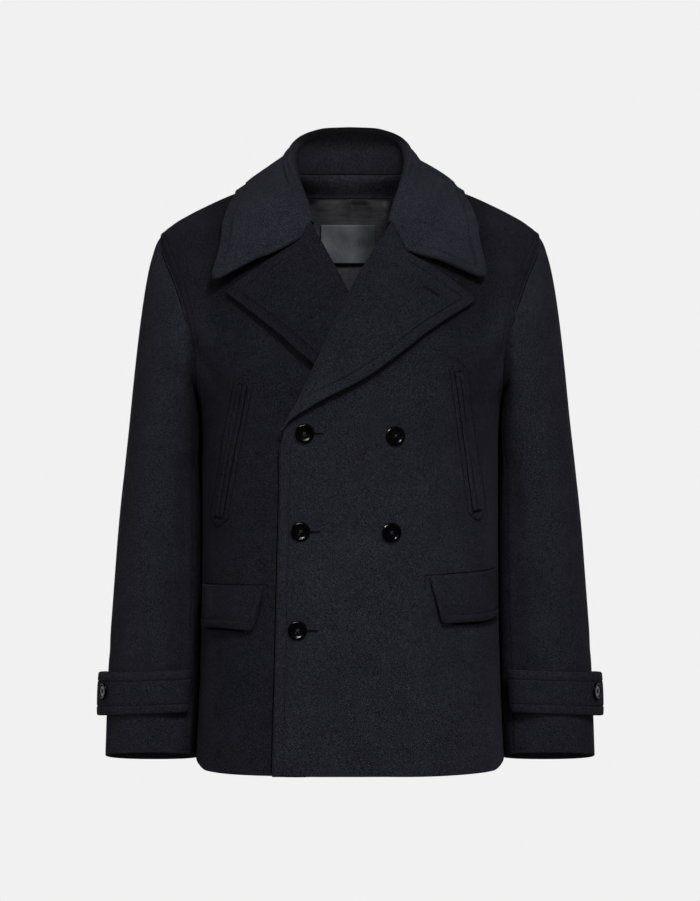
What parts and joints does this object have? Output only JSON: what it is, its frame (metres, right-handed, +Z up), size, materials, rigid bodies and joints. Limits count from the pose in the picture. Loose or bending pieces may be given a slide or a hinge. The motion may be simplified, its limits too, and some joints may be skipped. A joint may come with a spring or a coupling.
{
  "type": "pea coat",
  "caption": "Double-breasted wool pea coat with wide lapels, slit and flap pockets and cuff straps, filled out as worn, empty inside.",
  "frame": {"origin": "middle line of the coat at the height of the neck points, between the shoulders that carry it", "axes": "+X to the wearer's left, +Y to the wearer's back, +Z up; the front faces -Y"},
  "size_m": [0.6604, 0.2983, 0.8394],
  "materials": {
    "melton": "dense brushed wool melton, matt",
    "melton_inside": "dense brushed wool melton, matt",
    "lining": "smooth twill lining, soft sheen",
    "label": "bare, soft sheen",
    "button": "polished"
  },
  "bodies": {
    "root": {"back_left": "melton", "back_lining_left": "lining", "back_lining_right": "lining", "back_right": "melton", "button_1": "button", "button_2": "button", "button_3": "button", "button_4": "button", "button_5": "button", "collar": "melton", "cuff_button_left": "button", "cuff_button_right": "button", "flap_left": "melton", "flap_right": "melton", "front_left": "melton", "front_right": "melton", "label": "label", "lapel_left": "melton", "lapel_right": "melton", "neck_facing": "melton_inside", "strap_left": "melton", "strap_right": "melton", "under_sleeve_left": "melton", "under_sleeve_right": "melton", "upper_sleeve_left": "melton", "upper_sleeve_right": "melton", "welt_left_back": "melton", "welt_left_front": "melton", "welt_right_back": "melton", "welt_right_front": "melton"}
  },
  "joints": []
}
